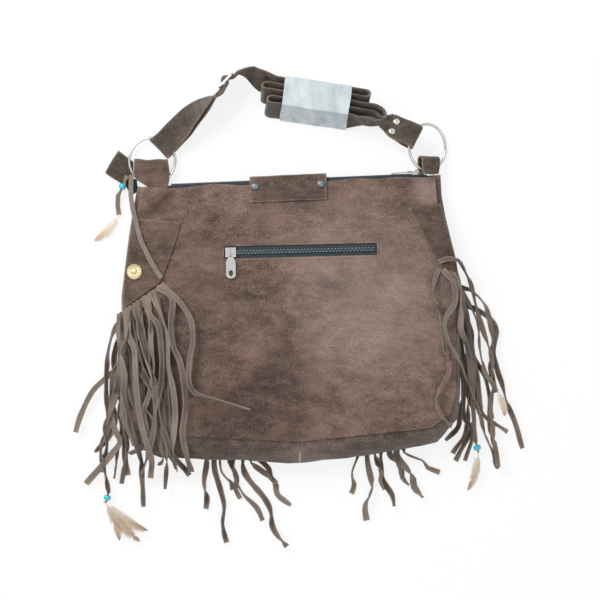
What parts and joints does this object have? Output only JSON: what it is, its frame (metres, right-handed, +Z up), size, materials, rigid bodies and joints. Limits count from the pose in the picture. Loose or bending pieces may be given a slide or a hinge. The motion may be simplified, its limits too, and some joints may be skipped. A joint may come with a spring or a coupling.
{
  "type": "fringed shoulder bag",
  "caption": "Slouchy suede shoulder bag lying flat, with a zipped pocket and mouth, side fringes, beads, feathers and an adjustable strap on wire rings.",
  "frame": {"origin": "on the flat underside of the back panel, which the bag lies on, near the middle of the bag", "axes": "+Z up out of the face with the pocket, +Y towards the mouth and the strap, +X to the right of someone who looks at the pocket with the strap at the top"},
  "size_m": [0.534, 0.57, 0.0487],
  "materials": {
    "suede": "mottled brown suede, napped",
    "dark_suede": "darker brown suede, napped",
    "strip_suede": "grey-brown suede, napped, raw cut edges",
    "zip_tape": "dark woven tape",
    "lining": "dark woven lining cloth",
    "plated_steel": "bright plated, lightly worn",
    "pale_gold": "pale gold, polished",
    "sleeve": "thin white non-woven sheet",
    "turquoise": "opaque turquoise, glossy",
    "feather": "soft barbed feather, cream to brown"
  },
  "bodies": {
    "bag": {"front_panel": "suede", "back_panel": "suede", "gusset_left": "suede", "gusset_right": "suede", "strap": "suede", "yoke_left": "dark_suede", "yoke_right": "dark_suede", "closure_tab": "dark_suede", "loop_left": "dark_suede", "loop_right": "dark_suede", "loop_tail": "dark_suede", "fringe_left_upper": "strip_suede", "fringe_left_lower": "strip_suede", "fringe_right_upper": "strip_suede", "fringe_right_lower": "strip_suede", "fringe_base_left": "strip_suede", "fringe_base_right": "strip_suede", "thong_long": "strip_suede", "thong_short": "strip_suede", "pocket_zip_tape_lower": "zip_tape", "pocket_zip_tape_upper": "zip_tape", "top_zip_tape_back": "zip_tape", "top_zip_tape_front": "zip_tape", "top_zip_tape_end": "zip_tape", "pocket_lining": "lining", "pocket_zip_chain": "plated_steel", "top_zip_chain": "plated_steel", "rivet_lower": "plated_steel", "rivet_upper": "plated_steel", "tab_stud_left": "plated_steel", "tab_stud_right": "plated_steel", "strap_slide": "plated_steel", "concho": "pale_gold", "strap_wrap": "sleeve", "bead_left_lower": "turquoise", "bead_left_upper": "turquoise", "bead_right": "turquoise", "feather_left_long": "feather", "feather_left_middle": "feather", "feather_left_short": "feather", "feather_left_upper": "feather", "feather_right_long": "feather", "feather_right_outer": "feather"},
    "pocket_slider": {"pocket_zip_slider": "plated_steel"},
    "pocket_pull": {"pocket_zip_pull": "plated_steel"},
    "top_slider": {"top_zip_slider": "plated_steel"},
    "top_pull": {"top_zip_pull": "plated_steel"},
    "left_ring": {"ring_left": "plated_steel"},
    "right_ring": {"ring_right": "plated_steel"}
  },
  "joints": [
    {"name": "pocket_zip_slide", "type": "slide", "parent": "bag", "child": "pocket_slider", "axis": [0.9997, 0.0244, -0.0018], "range_m": [0, 0.16]},
    {"name": "pocket_pull_swing", "type": "hinge", "parent": "pocket_slider", "child": "pocket_pull", "pos_m": [-0.08163, 0.05621, 0.03126], "axis": [-0.9997, -0.0244, 0.0018], "range_deg": [0, 150]},
    {"name": "top_zip_slide", "type": "slide", "parent": "bag", "child": "top_slider", "axis": [-0.9991, -0.0419, 0], "range_m": [0, 0.072]},
    {"name": "top_pull_swing", "type": "hinge", "parent": "top_slider", "child": "top_pull", "pos_m": [0.13875, 0.15246, 0.00728], "axis": [0, 0, -1], "range_deg": [0, 100]},
    {"name": "left_ring_turn", "type": "hinge", "parent": "bag", "child": "left_ring", "pos_m": [-0.1752, 0.1652, 0.00585], "axis": [0, 0, 1], "continuous": true},
    {"name": "right_ring_turn", "type": "hinge", "parent": "bag", "child": "right_ring", "pos_m": [0.1505, 0.1805, 0.01765], "axis": [0.5736, 0, 0.8191], "continuous": true}
  ]
}
